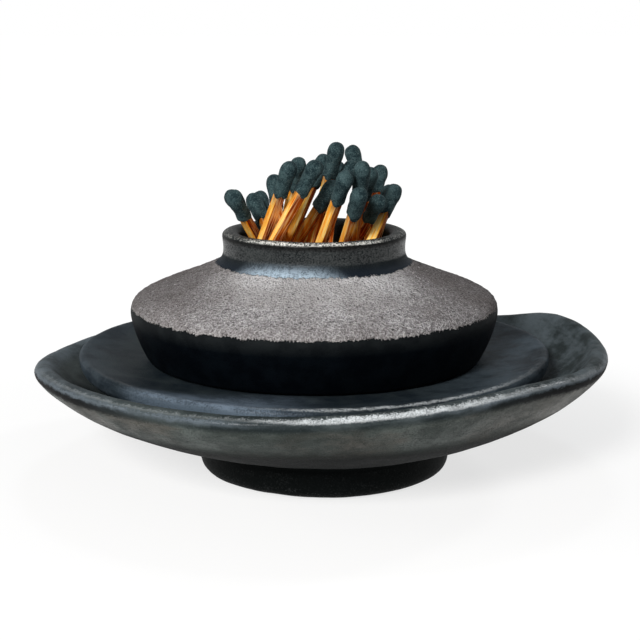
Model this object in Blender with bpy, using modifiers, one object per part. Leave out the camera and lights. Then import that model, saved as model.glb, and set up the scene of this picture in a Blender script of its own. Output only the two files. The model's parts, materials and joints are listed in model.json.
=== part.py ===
"""Match striker: a stoneware pot full of matches, on a saucer, in a footed dish.

The gritty, unglazed shoulder of the pot is the surface that lights a match.
The dish is thrown round and then pressed out of round by hand, the saucer
nests in it on its own foot, and the pot stands in the saucer's well.
Lengths are in metres, +Z is up, and the dish's foot stands on the plane z = 0.
"""
import math

import bmesh
import bpy
import numpy as np
from mathutils import Matrix, Vector

# Clearances between pieces that rest on each other
SEAT_GAP = 0.0003          # under a foot, between it and what it stands on
MATCH_GAP = 0.0002         # between two matches at their closest
HEAD_FIT = 0.00012         # between a splint and the socket of its head
MERGE_GAP = 0.00001        # points nearer than this to each other are one point

# Matches
STICK_SIDE = 0.0021        # side of the square splint
STICK_EDGE = 0.00015       # worn edge of the splint
MATCH_LENGTH = 0.0495      # foot of the splint to the top of the head
HEAD_LENGTH = 0.0088
HEAD_RADIUS = 0.00205      # of the bulb
SOCKET_SHARE = 0.52        # of the head's length that the splint goes in
MATCH_TRAVEL = 0.038       # drawn out along its own axis, clear of the mouth

# Pot
POT_HEIGHT = 0.03025
POT_BASE_RADIUS = 0.0400
POT_FLARE = 0.0040         # from the base out to the widest point
POT_MOUTH_RADIUS = 0.0175
POT_NECK_WALL = 0.0040
POT_LIP_SWELL = 0.0004     # the lip past the waist of the neck
POT_NECK_SPREAD = 0.0016   # the foot of the neck past its waist
POT_WALL = 0.0042
POT_FLOOR = 0.0050
POT_FOOT_WIDTH = 0.0040    # of the ring that the pot stands on
POT_FOOT_RECESS = 0.0008
POT_BASE_EDGE = 0.0006

# Saucer
SAUCER_MARGIN = 0.0161     # past the pot's base, all round
SAUCER_WELL_ROOM = 0.0015  # between the pot's base and the end of the flat well
SAUCER_HEIGHT = 0.0174     # foot to the top of the rim
SAUCER_WELL_DEPTH = 0.00165
SAUCER_RISE = 0.0013       # the sides of the rim past its front and back
SAUCER_EDGE = 0.0050       # thickness of the rim
SAUCER_FOOT_RADIUS = 0.0310
SAUCER_FOOT_WIDTH = 0.0045
SAUCER_FOOT_HEIGHT = 0.0022
SAUCER_FLOOR = 0.0060

# Dish
DISH_WALL = 0.0045         # at the lip
DISH_BOWL_WALL = 0.0038    # where the bowl meets its foot
DISH_ROOM = 0.0054         # between the saucer and the dish's wall, on average
DISH_HEIGHT = 0.0280       # foot to the lip, on average
DISH_RISE = 0.0030         # how far the lip climbs or drops, on average
DISH_FLOOR = 0.0028        # of the bowl's floor over the top of the foot
DISH_FLOOR_ROOM = 0.0007   # of the flat floor past the saucer's foot, all round
DISH_FOOT_RADIUS = 0.0282
DISH_FOOT_HEIGHT = 0.0080
DISH_FOOT_WIDTH = 0.0060
DISH_FOOT_RECESS = 0.0030
DISH_FOOT_FLARE = 0.0020   # the side of the foot past its bottom
DISH_FOOT_COVE = 0.0007    # the groove where the foot meets the bowl
DISH_OFF_CENTRE = 0.0024   # the foot's centre past the pot's, to the right

# Numbers of faces, and the angle past which an edge is shaded sharp
TURN_STEPS = 64
HEAD_SIDES = 12
SHARP_ANGLE = math.radians(35.0)

# Sizes that follow from those above
POT_NECK_RADIUS = POT_MOUTH_RADIUS + POT_NECK_WALL
POT_RIM_RADIUS = POT_NECK_RADIUS + POT_LIP_SWELL
POT_NECK_FOOT_RADIUS = POT_NECK_RADIUS + POT_NECK_SPREAD
POT_BELLY_RADIUS = POT_BASE_RADIUS + POT_FLARE
POT_INSIDE_RADIUS = POT_BASE_RADIUS - POT_WALL
SAUCER_RADIUS = POT_BASE_RADIUS + SAUCER_MARGIN
SAUCER_WELL_RADIUS = POT_BASE_RADIUS + SAUCER_WELL_ROOM
DISH_RIM_RADIUS = SAUCER_RADIUS + DISH_ROOM + DISH_WALL
DISH_FLOOR_Z = DISH_FOOT_HEIGHT + DISH_FLOOR
DISH_FLOOR_RADIUS = SAUCER_FOOT_RADIUS + DISH_OFF_CENTRE + DISH_FLOOR_ROOM
SAUCER_Z = DISH_FLOOR_Z + SEAT_GAP
POT_Z = SAUCER_Z + SAUCER_HEIGHT - SAUCER_WELL_DEPTH + SEAT_GAP
POT_FLOOR_Z = POT_Z + POT_FLOOR
POT_MOUTH_Z = POT_Z + POT_HEIGHT
SPLINT_LENGTH = MATCH_LENGTH - HEAD_LENGTH + HEAD_LENGTH * SOCKET_SHARE - HEAD_FIT
STICK_REACH = math.hypot(STICK_SIDE / 2.0, STICK_SIDE / 2.0 - STICK_EDGE)

# The dish's lip, every sixteenth of a turn from +X towards +Y.
# First the room left round the saucer as a share of DISH_ROOM, then the rise
# of the lip as a share of DISH_RISE.
LIP_SHARES = (
    (1.26, 0.72),
    (1.04, 1.22),
    (1.12, -0.45),
    (0.81, -0.93),
    (0.54, -1.00),
    (0.81, -0.93),
    (1.33, -0.83),
    (1.25, -0.95),
    (1.60, -0.74),
    (1.34, -0.15),
    (1.10, 0.05),
    (0.78, 0.00),
    (0.31, 0.00),
    (0.41, 0.47),
    (0.50, 0.80),
    (1.10, 0.53),
)

# Where each match is wanted, before the matches settle against each other.
# Across and into the mouth, as shares of its radius; across and into the pot's
# floor, as shares of that radius; the splint's roll as a share of a quarter
# turn; and the kind of head.
MATCH_SHARES = (
    (-0.88, 0.21, -0.11, 0.86, 0.20, "club"),
    (-0.73, -0.24, -0.08, 0.64, 0.65, "club"),
    (-0.66, 0.31, 0.13, -0.73, 0.35, "blunt"),
    (-0.59, 0.64, 0.02, -0.62, 0.80, "club"),
    (-0.48, -0.43, -0.16, -0.96, 0.10, "blunt"),
    (-0.67, -0.50, -0.64, 0.11, 0.30, "club"),
    (-0.43, 0.55, -0.42, 0.73, 0.55, "club"),
    (-0.39, -0.25, -0.49, -0.51, 0.75, "blunt"),
    (-0.16, 0.28, -0.31, 0.42, 0.40, "club"),
    (0.22, 0.26, 0.06, -0.44, 0.15, "blunt"),
    (-0.52, -0.75, -0.72, -0.17, 0.25, "club"),
    (-0.19, -0.06, -0.52, 0.57, 0.60, "blunt"),
    (-0.05, 0.32, -0.45, 0.62, 0.85, "club"),
    (0.18, -0.44, -0.16, 0.25, 0.45, "club"),
    (0.36, -0.35, 0.00, 0.43, 0.20, "blunt"),
    (0.75, 0.32, 0.60, -0.27, 0.50, "club"),
    (0.56, -0.38, 0.26, 0.27, 0.70, "blunt"),
    (0.68, 0.35, 0.18, -0.42, 0.05, "club"),
    (0.57, 0.27, 0.09, 0.75, 0.35, "club"),
    (0.77, 0.00, 0.16, -0.79, 0.60, "blunt"),
    (0.66, -0.10, 0.00, 0.74, 0.15, "club"),
    (0.87, -0.30, 0.05, -0.89, 0.80, "club"),
)

# Sections of a head, from its skirt to its crown: height as a share of the
# head's length, half width as a share of the bulb's radius, and how square.
HEAD_SHARES = {
    "club": ((0.00, 0.71, 6.0), (0.06, 0.76, 5.5), (0.34, 0.75, 3.6), (0.50, 0.84, 2.6),
             (0.65, 0.97, 2.1), (0.79, 1.00, 2.0), (0.91, 0.78, 2.0), (0.975, 0.42, 2.0)),
    "blunt": ((0.00, 0.74, 6.0), (0.06, 0.80, 5.5), (0.28, 0.82, 3.8), (0.48, 0.90, 2.6),
              (0.65, 0.98, 2.2), (0.79, 0.98, 2.0), (0.91, 0.76, 2.0), (0.975, 0.40, 2.0)),
}

# Settling: rounds at most; how hard a match is drawn back to where it is
# wanted, and for how many rounds; how far past touching a clashing pair is
# pushed, as a share of the splint's side; how much of a push is taken in one
# round; and how much a crowded match holds back.
SETTLE_ROUNDS = 4000
DRAW_ROUNDS = 900
DRAW_SHARE = 0.05
PUSH_SHARE = 0.03
PUSH_GAIN_SHARE = 1.4
CROWD_POWER = 0.7
TINY_SHARE = 1e-9          # keeps a division away from zero

# A lip's section: its height over its root as a share of the wall's half
# width, at shares of that half width from the middle
LIP_SECTION_SHARES = ((-0.75, 0.60), (-0.30, 1.0), (0.45, 1.0), (0.88, 0.60))

# The share of the way out along the bowl at which its wall has moved fully to
# the pressed lip, and the power by which a pressed rim's shape fades inwards
PRESS_SHARE = 0.9
PRESS_POWER = 2.0

# The pot's rounded lip, as a share of the pot's height
POT_LIP_SHARE = 0.035


def clear_scene():
    for thing in list(bpy.data.objects):
        bpy.data.objects.remove(thing, do_unlink=True)


def new_collection(name):
    collection = bpy.data.collections.new(name)
    bpy.context.scene.collection.children.link(collection)
    return collection


def new_material(name, colour, roughness, metallic=0.0):
    material = bpy.data.materials.new(name)
    material.use_nodes = True
    shader = material.node_tree.nodes["Principled BSDF"]
    shader.inputs["Base Color"].default_value = (*colour, 1.0)
    shader.inputs["Roughness"].default_value = roughness
    shader.inputs["Metallic"].default_value = metallic
    material.diffuse_color = (*colour, 1.0)
    return material


def add_object(name, mesh, collection, material, parent):
    thing = bpy.data.objects.new(name, mesh)
    collection.objects.link(thing)
    if not mesh.materials:
        mesh.materials.append(material)
    thing.parent = parent
    return thing


def add_empty(name, location, parent, collection):
    empty = bpy.data.objects.new(name, None)
    collection.objects.link(empty)
    empty.parent = parent
    empty.location = location
    return empty


def freeze(thing, name):
    """Give the mesh of an object with its modifiers applied, and remove the object."""
    depsgraph = bpy.context.evaluated_depsgraph_get()
    mesh = bpy.data.meshes.new_from_object(thing.evaluated_get(depsgraph))
    mesh.name = name
    bpy.data.objects.remove(thing, do_unlink=True)
    return mesh


def shade(mesh):
    """Shade the mesh smooth, but for its sharp edges."""
    mesh.shade_smooth()
    mesh.set_sharp_from_angle(angle=SHARP_ANGLE)
    return mesh


# Lines and turned forms

def line_of(points):
    """An outline's points, each a radius and a height."""
    return [Vector(point) for point in points]


def inset_line(line, depth, last_depth):
    """The line moved to the right of its direction, from one depth evenly to another."""
    moved = []
    last = len(line) - 1
    for index, point in enumerate(line):
        along = (line[min(index + 1, last)] - line[max(index - 1, 0)]).normalized()
        here = depth + (last_depth - depth) * index / last
        moved.append(point + Vector((along.y, -along.x)) * here)
    return moved


def lip_line(inside, outside, swell):
    """A rounded lip from the top of the inner line to the top of the outer one."""
    middle = (inside + outside) / 2.0
    half = (outside - inside) / 2.0
    up = Vector((-half.y, half.x)).normalized() * swell
    return [middle + half * across + up * rise for across, rise in LIP_SECTION_SHARES]


def turned_mesh(name, outline):
    """The mesh of an outline of (radius, height) points turned about the Z axis."""
    mesh = bpy.data.meshes.new(name + "_outline")
    spots = [(point.x, 0.0, point.y) for point in outline]
    edges = [(index, index + 1) for index in range(len(spots) - 1)]
    mesh.from_pydata(spots, edges, [])
    line = bpy.data.objects.new(name + "_outline", mesh)
    bpy.context.scene.collection.objects.link(line)
    screw = line.modifiers.new("Turn", "SCREW")
    screw.axis = "Z"
    screw.angle = math.tau
    screw.steps = TURN_STEPS
    screw.render_steps = TURN_STEPS
    screw.use_merge_vertices = True
    screw.merge_threshold = MERGE_GAP
    return shade(freeze(line, name))


# The pot

def pot_outside():
    """The pot's outer line, from under its lip down to the edge of its base."""
    height = POT_HEIGHT
    belly = POT_BELLY_RADIUS
    neck_foot = POT_NECK_FOOT_RADIUS
    shoulder = belly - neck_foot
    flank = POT_FLARE
    return line_of([
        (POT_RIM_RADIUS, height * (1.0 - POT_LIP_SHARE)),
        (POT_NECK_RADIUS, height * 0.880),
        (POT_NECK_RADIUS + POT_NECK_SPREAD * 0.15, height * 0.800),
        (neck_foot, height * 0.745),
        (neck_foot + shoulder * 0.20, height * 0.690),
        (neck_foot + shoulder * 0.42, height * 0.628),
        (neck_foot + shoulder * 0.65, height * 0.573),
        (neck_foot + shoulder * 0.84, height * 0.522),
        (neck_foot + shoulder * 0.95, height * 0.476),
        (belly, height * 0.405),
        (belly - flank * 0.14, height * 0.300),
        (belly - flank * 0.50, height * 0.150),
        (POT_BASE_RADIUS, POT_BASE_EDGE),
    ])


def pot_inside():
    """The hollow of the pot, from the middle of its floor up to the mouth."""
    height = POT_HEIGHT
    hollow = [point for point in inset_line(pot_outside(), POT_WALL, POT_WALL)
              if POT_FLOOR * 2.2 < point.y < height * 0.66]
    mouth = POT_MOUTH_RADIUS
    throat = line_of([
        (mouth + POT_LIP_SWELL * 0.5, height * (1.0 - POT_LIP_SHARE)),
        (mouth, height * 0.900),
        (mouth + POT_NECK_SPREAD * 0.1, height * 0.780),
        (mouth + POT_NECK_SPREAD * 0.9, height * 0.690),
    ])
    wall = [point for point in hollow if point.x > throat[-1].x + POT_NECK_SPREAD]
    corner = POT_INSIDE_RADIUS
    floor = line_of([
        (corner + POT_FLARE * 0.25, POT_FLOOR * 1.90),
        (corner - POT_FLOOR * 0.15, POT_FLOOR * 1.25),
        (corner - POT_FLOOR * 0.70, POT_FLOOR),
        (0.0, POT_FLOOR),
    ])
    inside = throat + wall + floor
    inside.reverse()
    return inside


def pot_outline():
    """The pot from the middle of its floor, up inside, over the lip and down outside."""
    inside = pot_inside()
    outer = pot_outside()
    lip = lip_line(inside[-1], outer[0], POT_HEIGHT * POT_LIP_SHARE)
    ring = POT_BASE_RADIUS - POT_BASE_EDGE
    base = line_of([
        (ring, 0.0),
        (ring - POT_FOOT_WIDTH, 0.0),
        (ring - POT_FOOT_WIDTH - POT_FOOT_RECESS, POT_FOOT_RECESS),
        (0.0, POT_FOOT_RECESS),
    ])
    return inside + lip + outer + base


# The saucer

def saucer_outline():
    """The saucer from the middle of its well, out over the rim and back underneath."""
    top = SAUCER_HEIGHT
    well = top - SAUCER_WELL_DEPTH
    radius = SAUCER_RADIUS
    edge = SAUCER_EDGE
    foot = SAUCER_FOOT_RADIUS
    under = top - edge
    spread = radius - edge * 0.3 - foot
    brim = line_of([
        (0.0, well),
        (SAUCER_WELL_RADIUS, well),
        (SAUCER_WELL_RADIUS + SAUCER_MARGIN * 0.12, well + SAUCER_WELL_DEPTH * 0.05),
        (SAUCER_WELL_RADIUS + SAUCER_MARGIN * 0.50, well + SAUCER_WELL_DEPTH * 0.42),
        (radius - edge * 0.38, top - edge * 0.01),
        (radius - edge * 0.20, top),
        (radius - edge * 0.05, top - edge * 0.12),
        (radius, top - edge * 0.32),
        (radius - edge * 0.07, top - edge * 0.68),
        (radius - edge * 0.34, under),
    ])
    belly = line_of([
        (foot + spread * 0.80, under - (under - SAUCER_FOOT_HEIGHT) * 0.20),
        (foot + spread * 0.45, under - (under - SAUCER_FOOT_HEIGHT) * 0.53),
        (foot + spread * 0.12, under - (under - SAUCER_FOOT_HEIGHT) * 0.86),
        (foot - SAUCER_FOOT_HEIGHT * 0.1, SAUCER_FOOT_HEIGHT * 0.8),
    ])
    inner = foot - SAUCER_FOOT_WIDTH
    roof = well - SAUCER_FLOOR
    base = line_of([
        (foot, 0.0),
        (inner, 0.0),
        (inner - SAUCER_FOOT_HEIGHT * 0.5, roof * 0.72),
        (inner - SAUCER_FOOT_WIDTH, roof),
        (0.0, roof),
    ])
    return brim + belly + base


def lift_sides(mesh):
    """Raise the rim's two sides a little, more the nearer the rim."""
    for vertex in mesh.vertices:
        radius = math.hypot(vertex.co.x, vertex.co.y)
        if radius <= SAUCER_WELL_RADIUS:
            continue
        weight = (radius - SAUCER_WELL_RADIUS) / (SAUCER_RADIUS - SAUCER_WELL_RADIUS)
        vertex.co.z += weight ** PRESS_POWER * SAUCER_RISE * (vertex.co.x / radius) ** 2


# The dish

def dish_outline():
    """The dish as it is thrown, before its lip is pressed out of round."""
    rim = DISH_RIM_RADIUS
    height = DISH_HEIGHT
    foot = DISH_FOOT_RADIUS
    neck = foot + DISH_FOOT_FLARE
    bowl = rim - neck
    climb = height - DISH_FOOT_HEIGHT
    outer = line_of([
        (rim, height - DISH_WALL * 0.42),
        (rim - bowl * 0.030, height - climb * 0.185),
        (rim - bowl * 0.120, height - climb * 0.345),
        (rim - bowl * 0.245, height - climb * 0.500),
        (rim - bowl * 0.400, height - climb * 0.635),
        (rim - bowl * 0.570, height - climb * 0.760),
        (rim - bowl * 0.770, height - climb * 0.885),
        (neck + bowl * 0.05, DISH_FOOT_HEIGHT + climb * 0.030),
    ])
    wall = [point for point in inset_line(outer, DISH_WALL, DISH_BOWL_WALL)
            if point.x > DISH_FLOOR_RADIUS and point.y > DISH_FLOOR_Z * 1.05]
    floor = line_of([(DISH_FLOOR_RADIUS, DISH_FLOOR_Z), (0.0, DISH_FLOOR_Z)])
    inside = wall[1:] + floor
    inside.reverse()
    lip = lip_line(inside[-1], outer[0], DISH_WALL * 0.40)
    inner = foot - DISH_FOOT_WIDTH
    base = line_of([
        (neck - DISH_FOOT_COVE, DISH_FOOT_HEIGHT * 0.95),
        (neck, DISH_FOOT_HEIGHT * 0.80),
        (neck, DISH_FOOT_HEIGHT * 0.35),
        (foot + DISH_FOOT_FLARE * 0.75, DISH_FOOT_HEIGHT * 0.13),
        (foot - DISH_FOOT_COVE * 0.6, 0.0),
        (inner, 0.0),
        (inner - DISH_FOOT_RECESS, DISH_FOOT_RECESS),
        (0.0, DISH_FOOT_RECESS),
    ])
    return inside + lip + outer + base


def round_the_lip(column, angle):
    """A column of LIP_SHARES at any angle, smooth all the way round."""
    count = len(LIP_SHARES)
    place = (angle % math.tau) / math.tau * count
    start = int(place) % count
    t = place - int(place)
    p = [LIP_SHARES[(start + offset) % count][column] for offset in (-1, 0, 1, 2)]
    return 0.5 * (2.0 * p[1] + (p[2] - p[0]) * t
                  + (2.0 * p[0] - 5.0 * p[1] + 4.0 * p[2] - p[3]) * t ** 2
                  + (3.0 * p[1] - p[0] - 3.0 * p[2] + p[3]) * t ** 3)


def lip_radius(angle):
    return SAUCER_RADIUS + DISH_ROOM * round_the_lip(0, angle) + DISH_WALL


def press_out_of_round(mesh):
    """Move the bowl's wall to the lip's outline, more the nearer the lip."""
    full = (DISH_RIM_RADIUS - DISH_FLOOR_RADIUS) * PRESS_SHARE
    for vertex in mesh.vertices:
        radius = math.hypot(vertex.co.x, vertex.co.y)
        if radius <= DISH_FLOOR_RADIUS:
            continue
        angle = math.atan2(vertex.co.y, vertex.co.x)
        weight = min(1.0, (radius - DISH_FLOOR_RADIUS) / full) ** PRESS_POWER
        moved = radius + weight * (lip_radius(angle) - DISH_RIM_RADIUS)
        vertex.co.x *= moved / radius
        vertex.co.y *= moved / radius
        vertex.co.z += weight ** PRESS_POWER * DISH_RISE * round_the_lip(1, angle)


def dish_middle():
    """The middle of the dish's outline in plan, from the foot's centre."""
    angles = [math.tau * step / TURN_STEPS for step in range(TURN_STEPS)]
    xs = [lip_radius(angle) * math.cos(angle) for angle in angles]
    ys = [lip_radius(angle) * math.sin(angle) for angle in angles]
    return (min(xs) + max(xs)) / 2.0, (min(ys) + max(ys)) / 2.0


# The matches

def closest_spots(start_a, run_a, start_b, run_b):
    """Shares along two sets of straight runs at which each pair is closest."""
    apart = start_a - start_b
    aa = (run_a * run_a).sum(1)
    bb = (run_b * run_b).sum(1)
    ab = (run_a * run_b).sum(1)
    a_apart = (run_a * apart).sum(1)
    b_apart = (run_b * apart).sum(1)
    spread = np.maximum(aa * bb - ab * ab, TINY_SHARE * aa * bb)
    share_a = np.clip((ab * b_apart - a_apart * bb) / spread, 0.0, 1.0)
    share_b = np.clip((ab * share_a + b_apart) / bb, 0.0, 1.0)
    share_a = np.clip((ab * share_b - a_apart) / aa, 0.0, 1.0)
    return share_a, share_b


def match_lines(feet, tops):
    """The foot of each splint and its direction, from two points on its line."""
    low = np.c_[feet, np.full(len(feet), POT_FLOOR_Z)]
    high = np.c_[tops, np.full(len(tops), POT_MOUTH_Z)]
    run = high - low
    run /= np.linalg.norm(run, axis=1)[:, None]
    corner = STICK_REACH * np.sqrt(np.maximum(0.0, 1.0 - run[:, 2] ** 2))
    start = low + run * ((SEAT_GAP + corner) / run[:, 2])[:, None]
    return start, run


def clash_tests(start, run, pairs, both_ways):
    """Every two runs that have to stay apart, and by how much.

    A match that is drawn out must pass all the others where they rest, and
    all of them drawn out together must clear each other.
    """
    first, second = pairs
    a, b = both_ways
    neck = start + run * (MATCH_LENGTH - HEAD_LENGTH)
    crown = start + run * (MATCH_LENGTH - HEAD_RADIUS)
    out = run * MATCH_TRAVEL
    sticks = 2.0 * STICK_REACH + MATCH_GAP
    mixed = STICK_REACH + HEAD_RADIUS + MATCH_GAP
    heads = 2.0 * HEAD_RADIUS + MATCH_GAP
    return (
        (a, b, start, neck + out, start, neck, sticks),
        (a, b, neck, crown + out, start, neck, mixed),
        (a, b, start, neck + out, neck, crown, mixed),
        (a, b, neck, crown + out, neck, crown, heads),
        (first, second, start + out, neck + out, start + out, neck + out, sticks),
        (a, b, neck + out, crown + out, start + out, neck + out, mixed),
        (first, second, neck + out, crown + out, neck + out, crown + out, heads),
    )


def settle_matches():
    """Nudge the wanted lines apart until every match clears every other."""
    table = np.array([row[:4] for row in MATCH_SHARES])
    rise = POT_MOUTH_Z - POT_FLOOR_Z
    hollow = [point for point in pot_inside() if point.x > 0.0]
    floor_room = hollow[0].x
    walls = [((point.y - POT_FLOOR) / rise, point.x - SEAT_GAP) for point in hollow]
    wanted_tops = table[:, 0:2] * POT_MOUTH_RADIUS
    wanted_feet = table[:, 2:4] * floor_room
    tops = wanted_tops.copy()
    feet = wanted_feet.copy()
    count = len(table)
    first, second = np.triu_indices(count, 1)
    both_ways = (np.r_[first, second], np.r_[second, first])
    extra = PUSH_SHARE * STICK_SIDE
    for turn in range(SETTLE_ROUNDS):
        start, run = match_lines(feet, tops)
        feet_push = np.zeros_like(feet)
        tops_push = np.zeros_like(tops)
        crowd = np.zeros(count)
        clashes = 0
        for a, b, from_a, to_a, from_b, to_b, apart in clash_tests(
                start, run, (first, second), both_ways):
            run_a = (to_a - from_a)[a]
            run_b = (to_b - from_b)[b]
            share_a, share_b = closest_spots(from_a[a], run_a, from_b[b], run_b)
            spot_a = from_a[a] + run_a * share_a[:, None]
            spot_b = from_b[b] + run_b * share_b[:, None]
            gap = spot_a - spot_b
            distance = np.linalg.norm(gap, axis=1)
            near = np.where(distance < apart)[0]
            if len(near) == 0:
                continue
            clashes += len(near)
            push = (apart - distance[near] + extra) / 2.0
            way = gap[near] / np.maximum(distance[near], extra * TINY_SHARE)[:, None]
            for which, spot, sign in ((a[near], spot_a[near], 1.0), (b[near], spot_b[near], -1.0)):
                lever = (spot[:, 2] - POT_FLOOR_Z) / rise
                total = lever ** 2 + (1.0 - lever) ** 2
                flat = way[:, :2] * sign * (push / total)[:, None]
                np.add.at(feet_push, which, flat * (1.0 - lever)[:, None])
                np.add.at(tops_push, which, flat * lever[:, None])
                np.add.at(crowd, which, 1.0)
        for lever, room in walls:
            reach = feet * (1.0 - lever) + tops * lever
            radius = np.hypot(reach[:, 0], reach[:, 1])
            over = radius - (room - STICK_REACH / run[:, 2])
            near = np.where(over > 0.0)[0]
            if len(near) == 0:
                continue
            clashes += len(near)
            total = lever ** 2 + (1.0 - lever) ** 2
            flat = -reach[near] / radius[near, None] * ((over[near] + extra) / total)[:, None]
            feet_push[near] += flat * (1.0 - lever)
            tops_push[near] += flat * lever
            crowd[near] += 1.0
        ease = np.maximum(crowd, 1.0)[:, None] ** CROWD_POWER
        feet += PUSH_GAIN_SHARE * feet_push / ease
        tops += PUSH_GAIN_SHARE * tops_push / ease
        draw = DRAW_SHARE * max(0.0, 1.0 - turn / DRAW_ROUNDS)
        feet += draw * (wanted_feet - feet)
        tops += draw * (wanted_tops - tops)
        if clashes == 0 and draw == 0.0:
            break
    print("matches settled after", turn + 1, "rounds with", clashes, "clashes left")
    return match_lines(feet, tops)


def stick_mesh():
    """A square splint, its foot at the origin and its length along +Z."""
    mesh = bpy.data.meshes.new("splint_blank")
    shape = bmesh.new()
    bmesh.ops.create_cube(shape, size=1.0)
    bmesh.ops.scale(shape, vec=(STICK_SIDE, STICK_SIDE, SPLINT_LENGTH), verts=shape.verts)
    bmesh.ops.translate(shape, vec=(0.0, 0.0, SPLINT_LENGTH / 2.0), verts=shape.verts)
    shape.to_mesh(mesh)
    shape.free()
    blank = bpy.data.objects.new("splint_blank", mesh)
    bpy.context.scene.collection.objects.link(blank)
    bevel = blank.modifiers.new("Edges", "BEVEL")
    bevel.width = STICK_EDGE
    bevel.segments = 1
    return shade(freeze(blank, "splint"))


def head_section(shape, height, half_width, power):
    """One ring of a head, between a circle and a rounded square."""
    ring = []
    for side in range(HEAD_SIDES):
        angle = math.tau * (side + 0.5) / HEAD_SIDES
        across = abs(math.cos(angle)) ** power + abs(math.sin(angle)) ** power
        reach = half_width / across ** (1.0 / power)
        ring.append(shape.verts.new((reach * math.cos(angle), reach * math.sin(angle), height)))
    return ring


def head_mesh(kind, cutters):
    """A head lofted from its square skirt to its round bulb, with the splint's socket."""
    mesh = bpy.data.meshes.new("head_blank")
    shape = bmesh.new()
    rings = [head_section(shape, height * HEAD_LENGTH, width * HEAD_RADIUS, power)
             for height, width, power in HEAD_SHARES[kind]]
    for low, high in zip(rings, rings[1:]):
        for side in range(HEAD_SIDES):
            after = (side + 1) % HEAD_SIDES
            shape.faces.new((low[side], low[after], high[after], high[side]))
    crown = shape.verts.new((0.0, 0.0, HEAD_LENGTH))
    for side in range(HEAD_SIDES):
        shape.faces.new((rings[-1][side], rings[-1][(side + 1) % HEAD_SIDES], crown))
    shape.faces.new(list(reversed(rings[0])))
    shape.to_mesh(mesh)
    shape.free()
    blank = bpy.data.objects.new("head_blank", mesh)
    bpy.context.scene.collection.objects.link(blank)
    cut = blank.modifiers.new("Socket", "BOOLEAN")
    cut.operation = "DIFFERENCE"
    cut.solver = "EXACT"
    cut.object = socket_cutter(cutters)
    return shade(freeze(blank, kind + "_head"))


def socket_cutter(cutters):
    """The square hole in a head, which runs on past its skirt."""
    if "socket_cutter" in cutters.objects:
        return cutters.objects["socket_cutter"]
    depth = HEAD_LENGTH * SOCKET_SHARE
    width = STICK_SIDE + 2.0 * HEAD_FIT
    mesh = bpy.data.meshes.new("socket_cutter")
    shape = bmesh.new()
    bmesh.ops.create_cube(shape, size=1.0)
    bmesh.ops.scale(shape, vec=(width, width, 2.0 * depth), verts=shape.verts)
    shape.to_mesh(mesh)
    shape.free()
    cutter = bpy.data.objects.new("socket_cutter", mesh)
    cutters.objects.link(cutter)
    cutter.hide_render = True
    cutter.display_type = "WIRE"
    return cutter


def match_turn(run, roll):
    """The rotation that lays +Z along a match and rolls it about its own axis."""
    along = Vector([float(part) for part in run])
    lean = Vector((0.0, 0.0, 1.0)).rotation_difference(along)
    return (lean.to_matrix() @ Matrix.Rotation(roll, 3, "Z")).to_quaternion()


def add_matches(collection, cutters, materials, pot):
    splint = stick_mesh()
    heads = {kind: head_mesh(kind, cutters) for kind in HEAD_SHARES}
    heads_up = Vector((0.0, 0.0, MATCH_LENGTH - HEAD_LENGTH))
    starts, runs = settle_matches()
    for index, row in enumerate(MATCH_SHARES):
        name = f"match_{index + 1:02d}"
        roll = row[4] * math.pi / 2.0
        holder = add_empty(name, Vector(starts[index]) - Vector((0.0, 0.0, POT_Z)), pot, collection)
        holder.rotation_mode = "QUATERNION"
        holder.rotation_quaternion = match_turn(runs[index], roll)
        add_object(name + "_stick", splint, collection, materials["wood"], holder)
        head = add_object(name + "_head", heads[row[5]], collection, materials["head"], holder)
        head.location = heads_up


def build():
    clear_scene()
    collection = new_collection("match_striker")
    cutters = new_collection("cutters")
    materials = {
        "dish": new_material("satin_black_glaze", (0.030, 0.034, 0.036), 0.42),
        "saucer": new_material("slate_black_glaze", (0.026, 0.032, 0.038), 0.40),
        "pot": new_material("glaze_and_bare_clay", (0.105, 0.092, 0.086), 0.72),
        "wood": new_material("dyed_splint_wood", (0.72, 0.34, 0.09), 0.60),
        "head": new_material("teal_match_head", (0.032, 0.052, 0.055), 0.85),
    }
    middle_x, middle_y = dish_middle()
    stand = add_empty("stand", (-DISH_OFF_CENTRE - middle_x, -middle_y, 0.0), None, collection)
    dish_place = add_empty("dish_place", (DISH_OFF_CENTRE, 0.0, 0.0), stand, collection)
    dish = turned_mesh("dish", dish_outline())
    press_out_of_round(dish)
    add_object("dish", dish, collection, materials["dish"], dish_place)

    saucer_place = add_empty("saucer_place", (0.0, 0.0, SAUCER_Z), stand, collection)
    saucer = turned_mesh("saucer", saucer_outline())
    lift_sides(saucer)
    add_object("saucer", saucer, collection, materials["saucer"], saucer_place)

    pot_rise = Vector((0.0, 0.0, POT_Z - SAUCER_Z))
    pot_place = add_empty("pot_place", pot_rise, saucer_place, collection)
    pot = turned_mesh("striker_pot", pot_outline())
    add_object("striker_pot", pot, collection, materials["pot"], pot_place)
    add_matches(collection, cutters, materials, pot_place)


build()
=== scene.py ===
# %% [markdown]
# # A stoneware match striker
# A match striker is a pot with a rough, bare shoulder. A match drawn across the
# grit lights. This one stands on a saucer, the saucer nests in a footed dish, and
# the pot is full of wooden matches. The working model already holds the sizes and
# the moving parts. This lesson gives it its skin: thrown clay, bare grit, black
# glaze, dyed wood and dry match compound.

# %% Load the working model
import json
import math

import bpy
import numpy as np
from mathutils import Matrix, Vector, noise

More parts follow.
